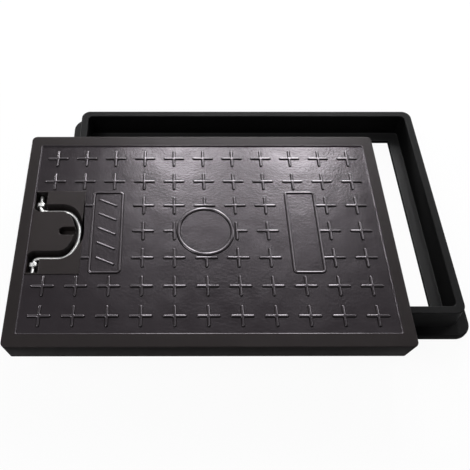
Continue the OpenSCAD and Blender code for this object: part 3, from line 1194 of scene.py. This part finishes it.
@dataclass
class Bail:
    """The bent rod handle and the two straps over its pivot ends."""

    shape: CoverShape
    rod_material: bpy.types.Material
    strap_material: bpy.types.Material
    sides: int = 28
    end_edge: float = 0.8 * MM
    strap_t: float = 1.5 * MM
    strap_w: float = 7 * MM
    strap_span: float = 13 * MM
    strap_bend: float = 1.5 * MM
    strap_clear: float = 0.4 * MM
    strap_sink: float = 5 * MM
    strap_along: float = 4.5 * MM
    strap_edge: float = 0.35 * MM

    def build(self) -> None:
        """Makes the rod and the straps."""
        rod = piece(self._rod(), [self.rod_material], Body.BAIL)
        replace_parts(rod, "bail")
        for side, node in ((-1, "front_strap"), (1, "rear_strap")):
            strap = piece(self._strap(node, side), [self.strap_material], Body.ROOT)
            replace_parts(strap, node)

    def _path(self) -> list[Point2]:
        """The rod's middle line, from its front pivot end to its back one."""
        shape = self.shape
        pin_y = shape.bail_half + shape.bend_r
        end_y = pin_y + shape.pin_len
        bend_x = shape.pivot_x + shape.bend_r
        front = [(shape.pivot_x, -end_y), (shape.pivot_x, -(pin_y + end_y) / 2)]
        front += arc((bend_x, -pin_y), shape.bend_r, 2 * QUARTER, QUARTER, 10)
        front += [((bend_x + shape.shoulder_x) / 2, -shape.bail_half)]
        back = [(x, -y) for x, y in reversed(front)]
        return front + shape.bail_line(0.0, 12) + back

    def _rod(self) -> bpy.types.Mesh:
        """Sweeps the rod's round section along its line."""
        builder = Builder()
        path = self._path()
        radius = self.shape.rod_r
        start, end = Vector(path[0]), Vector(path[-1])
        chamfer = self.end_edge
        stations = [(start, radius - chamfer), (start + Vector((0.0, chamfer)), radius)]
        stations += [(Vector(p), radius) for p in path[1:-1]]
        stations += [(end - Vector((0.0, chamfer)), radius), (end, radius - chamfer)]
        rings = []
        for index, (spot, size) in enumerate(stations):
            ahead = stations[min(index + 1, len(stations) - 1)][0] - stations[max(index - 1, 0)][0]
            across = Vector((ahead.y, -ahead.x)).normalized()
            ring = []
            for u, v in arc((0.0, 0.0), size, 0.0, 4 * QUARTER, self.sides)[:-1]:
                ring.append(builder.mesh.verts.new((spot.x + across.x * u, spot.y + across.y * u, v)))
            rings.append(ring)
        builder.skin(rings)
        builder.cap(rings[0], downwards=True)
        builder.cap(rings[-1])
        return builder.done("bail_rod", self.shape.middle + Vector((0.0, 0.0, self.shape.rod_z)))

    def _strap(self, name: str, side: int) -> bpy.types.Mesh:
        """Bends one strap over its pin and down into the pocket floor.

        Args:
            name: the strap's name.
            side: -1 at the front pivot end, 1 at the back one.

        Returns:
            The strap's mesh.
        """
        shape = self.shape
        half_t, half_w, edge = self.strap_t / 2, self.strap_w / 2, self.strap_edge
        drop = shape.groove_z - self.strap_sink - shape.rod_z
        bend = self.strap_bend + half_t
        side_x = self.strap_span / 2 - half_t
        top = shape.rod_r + self.strap_clear + half_t
        right = arc((side_x - bend, top - bend), bend, 0.0, QUARTER, 6)
        line = [(side_x, drop), *right, *[(-x, z) for x, z in reversed(right)], (-side_x, drop)]
        band = RoundRect(half_w, half_t, edge, 3).points()
        builder = Builder()
        rings = []
        for index, spot in enumerate(line):
            before = (Vector(spot) - Vector(line[max(index - 1, 0)])).normalized()
            after = (Vector(line[min(index + 1, len(line) - 1)]) - Vector(spot)).normalized()
            ahead = before + after
            out = Vector((ahead.y, -ahead.x)).normalized()
            ring = [builder.mesh.verts.new((spot[0] + out.x * t, w, spot[1] + out.y * t)) for w, t in band]
            rings.append(ring)
        builder.skin(rings)
        builder.cap(rings[0], downwards=True)
        builder.cap(rings[-1])
        strap_y = shape.bail_half + shape.bend_r + self.strap_along
        place = shape.middle + Vector((shape.pivot_x, side * strap_y, shape.rod_z))
        return builder.done(name + "_sheet", place)


@dataclass
class Studio:
    """The plain pale ground, the soft light and the camera of the photograph."""

    eye: Colour = (-0.11995, -0.62829, 0.95075)
    right: Colour = (0.99999, -0.002685, 0.003472)
    down: Colour = (-0.000272, -0.827430, -0.561568)
    ahead: Colour = (0.004380, 0.561562, -0.827423)
    focal_px: float = 639.5
    centre_px: Point2 = (172.4, 223.7)
    image_px: float = 470.0
    sensor: float = 36.0
    ground_size: float = 12.0
    world_strength: float = 0.15
    ceiling: float = 0.3
    wall_top: float = 0.3
    ceiling_start: float = 0.65
    back_wall: float = 0.3
    back_start: float = 0.3

    def build(self) -> None:
        """Sets up the ground, the lamps, the world, the camera and the view."""
        self._ground()
        self._camera()
        self._world()
        self._softbox("left_window", (-0.06, 2.107, 1.147), (-0.06, 0.497, -0.373), (0.37, 1.96), 32.0)
        self._softbox("right_window", (0.60, 2.107, 1.147), (0.40, 0.497, -0.373), (0.40, 1.96), 41.0)
        self._softbox("upper_glow", (0.15, 1.15, 1.85), (0.0, 0.0, 0.0), (1.3, 0.5), 2.4)
        self._softbox("back_glow", (-0.1, 2.5, 0.9), (0.0, 0.0, 0.0), (4.4, 1.1), 34.0)
        self._softbox("side_glow", (1.7, 1.1, 1.3), (0.0, 0.0, 0.0), (0.8, 0.9), 12.0)
        self._softbox("low_glow", (-2.6, 2.0, 0.3), (0.0, 0.0, 0.1), (1.5, 0.3), 100.0)
        self._softbox("fill_softbox", (-2.0, -0.7, 2.9), (0.0, 0.0, 0.0), (1.6, 1.6), 48.0)
        bpy.context.scene.view_settings.view_transform = "Standard"

    def _ground(self) -> None:
        """Lays the ground just below the frame's underside."""
        half = self.ground_size / 2
        mesh = bpy.data.meshes.new("ground")
        level = -0.2 * MM
        corners = [(-half, -half, level), (half, -half, level), (half, half, level), (-half, half, level)]
        mesh.from_pydata(corners, [], [(0, 1, 2, 3)])
        ground = bpy.data.objects.new("ground", mesh)
        mesh.materials.append(GroundFinish().material())
        bpy.context.scene.collection.objects.link(ground)

    def _camera(self) -> None:
        """Places the camera as it was fitted to the photograph."""
        data = bpy.data.cameras.new("camera")
        data.sensor_width = self.sensor
        data.lens = self.focal_px / self.image_px * self.sensor
        data.shift_x = 0.5 - self.centre_px[0] / self.image_px
        data.shift_y = self.centre_px[1] / self.image_px - 0.5
        data.clip_end = 50.0
        camera = bpy.data.objects.new("camera", data)
        turned = Matrix((self.right, [-v for v in self.down], [-v for v in self.ahead])).transposed()
        camera.matrix_world = Matrix.Translation(self.eye) @ turned.to_4x4()
        bpy.context.scene.collection.objects.link(camera)
        bpy.context.scene.camera = camera

    def _world(self) -> None:
        """Even pale light: the camera sees it white, and mirrors see white walls below a greyer ceiling."""
        world = bpy.data.worlds.new("studio")
        world.use_nodes = True
        tree = world.node_tree
        tree.nodes.clear()
        path = tree.nodes.new("ShaderNodeLightPath")
        place = tree.nodes.new("ShaderNodeTexCoord")
        height = tree.nodes.new("ShaderNodeSeparateXYZ")
        tree.links.new(place.outputs["Generated"], height.inputs[0])
        upper = self._ranged(tree, height.outputs["Z"], (self.wall_top, self.ceiling_start), (1.0, self.ceiling))
        back = self._ranged(tree, height.outputs["Y"], (0.0, self.back_start), (1.0, self.back_wall))
        wall = tree.nodes.new("ShaderNodeMath")
        wall.operation = "MINIMUM"
        tree.links.new(upper, wall.inputs[0])
        tree.links.new(back, wall.inputs[1])
        mirrored = tree.nodes.new("ShaderNodeMath")
        mirrored.operation = "MAXIMUM"
        tree.links.new(path.outputs["Is Glossy Ray"], mirrored.inputs[0])
        tree.links.new(path.outputs["Is Transmission Ray"], mirrored.inputs[1])
        in_mirrors = tree.nodes.new("ShaderNodeMath")
        in_mirrors.operation = "MULTIPLY"
        tree.links.new(mirrored.outputs[0], in_mirrors.inputs[0])
        tree.links.new(wall.outputs[0], in_mirrors.inputs[1])
        seen = tree.nodes.new("ShaderNodeMath")
        seen.operation = "MAXIMUM"
        tree.links.new(path.outputs["Is Camera Ray"], seen.inputs[0])
        tree.links.new(in_mirrors.outputs[0], seen.inputs[1])
        light = tree.nodes.new("ShaderNodeBackground")
        light.inputs["Color"].default_value = (1.0, 1.0, 1.0, 1.0)
        strength = self._ranged(tree, seen.outputs[0], (0.0, 1.0), (self.world_strength, 1.0))
        tree.links.new(strength, light.inputs["Strength"])
        result = tree.nodes.new("ShaderNodeOutputWorld")
        tree.links.new(light.outputs[0], result.inputs[0])
        bpy.context.scene.world = world

    @staticmethod
    def _ranged(
        tree: bpy.types.NodeTree, value: bpy.types.NodeSocket, given: Point2, wanted: Point2
    ) -> bpy.types.NodeSocket:
        """Maps one range of values to another.

        Args:
            tree: the world's node tree.
            value: the value to map.
            given: the range that it has.
            wanted: the range that it gets.

        Returns:
            The mapped value.
        """
        made = tree.nodes.new("ShaderNodeMapRange")
        tree.links.new(value, made.inputs["Value"])
        for name, number in zip(("From Min", "From Max", "To Min", "To Max"), (*given, *wanted)):
            made.inputs[name].default_value = number
        return made.outputs[0]

    def _softbox(self, name: str, place: Colour, target: Colour, size: Point2, watts: float) -> None:
        """Hangs one soft rectangular lamp.

        Args:
            name: the lamp's name.
            place: where it hangs.
            target: the point that it faces.
            size: its width and height.
            watts: its power.
        """
        data = bpy.data.lights.new(name, "AREA")
        data.shape = "RECTANGLE"
        data.size, data.size_y = size
        data.energy = watts
        lamp = bpy.data.objects.new(name, data)
        lamp.visible_camera = False
        lamp.location = place
        lamp.rotation_euler = (Vector(target) - Vector(place)).to_track_quat("-Z", "Y").to_euler()
        bpy.context.scene.collection.objects.link(lamp)


def main() -> None:
    """Dresses the cover, its frame and its handle, and sets up the studio."""
    logging.basicConfig(level=logging.INFO, format="%(name)s: %(message)s")
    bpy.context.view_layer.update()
    matt = CompositeFinish(
        "cover_matt", (0.0140, 0.0117, 0.0115), (0.0185, 0.0157, 0.0156), 0.38, 0.10, 0.11, 0.00005, 0.00005, 0.0004,
        (1.0, 0.94, 1.0),
    )
    gloss = CompositeFinish(
        "cover_gloss", (0.0080, 0.0058, 0.0072), (0.0115, 0.0090, 0.0106), 0.22, 0.14, 0.50, 0.00001, 0.00022, 0.0011,
        (1.0, 0.92, 1.0),
    )
    black = CompositeFinish(
        "frame_black", (0.0075, 0.0075, 0.0078), (0.0108, 0.0108, 0.0112), 0.55, 0.12, 0.05, 0.00005, 0.00006, 0.0006
    )
    tread = replace(gloss, name="tread_gloss", roughness=0.17, specular=0.85, peel_depth=0.00005)
    # For the cover's sides and the tread's flanks: rougher, and darker in colour as painted shade.
    cover_side = replace(
        matt,
        name="cover_side",
        dark=(0.0062, 0.0052, 0.0052),
        light=(0.0088, 0.0074, 0.0074),
        roughness=0.62,
        specular=0.05,
    )
    # The handle pad: a lighter copy of the matt finish.
    pad = replace(matt, name="pad_matt", dark=(0.0180, 0.0152, 0.0150), light=(0.0238, 0.0204, 0.0202))
    # For the frame's inner walls: rougher, and darker in colour as painted shade.
    frame_inside = replace(
        black,
        name="frame_inside",
        dark=(0.0022, 0.0022, 0.0023),
        light=(0.0034, 0.0034, 0.0036),
        roughness=0.62,
        specular=0.03,
    )
    # For the ledge: glossier, and lighter in colour as painted light from above.
    frame_ledge = replace(
        black,
        name="frame_ledge",
        dark=(0.0140, 0.0140, 0.0144),
        light=(0.0200, 0.0200, 0.0206),
        roughness=0.40,
        specular=0.20,
    )
    rod = SteelFinish("bright_rod", (0.60, 0.60, 0.60), (0.82, 0.82, 0.81), 0.40)
    sheet = SteelFinish("bright_sheet", (0.50, 0.50, 0.50), (0.72, 0.72, 0.71), 0.40)
    Surround(black.material(), frame_inside.material(), frame_ledge.material()).build()
    shape = CoverShape()
    side = cover_side.material()
    CoverBody(shape, matt.material(), gloss.material(), side, pad.material()).build()
    Tread(shape, tread.material(), side).build()
    Bail(shape, rod.material(), sheet.material()).build()
    Studio().build()


if __name__ == "__main__":
    main()
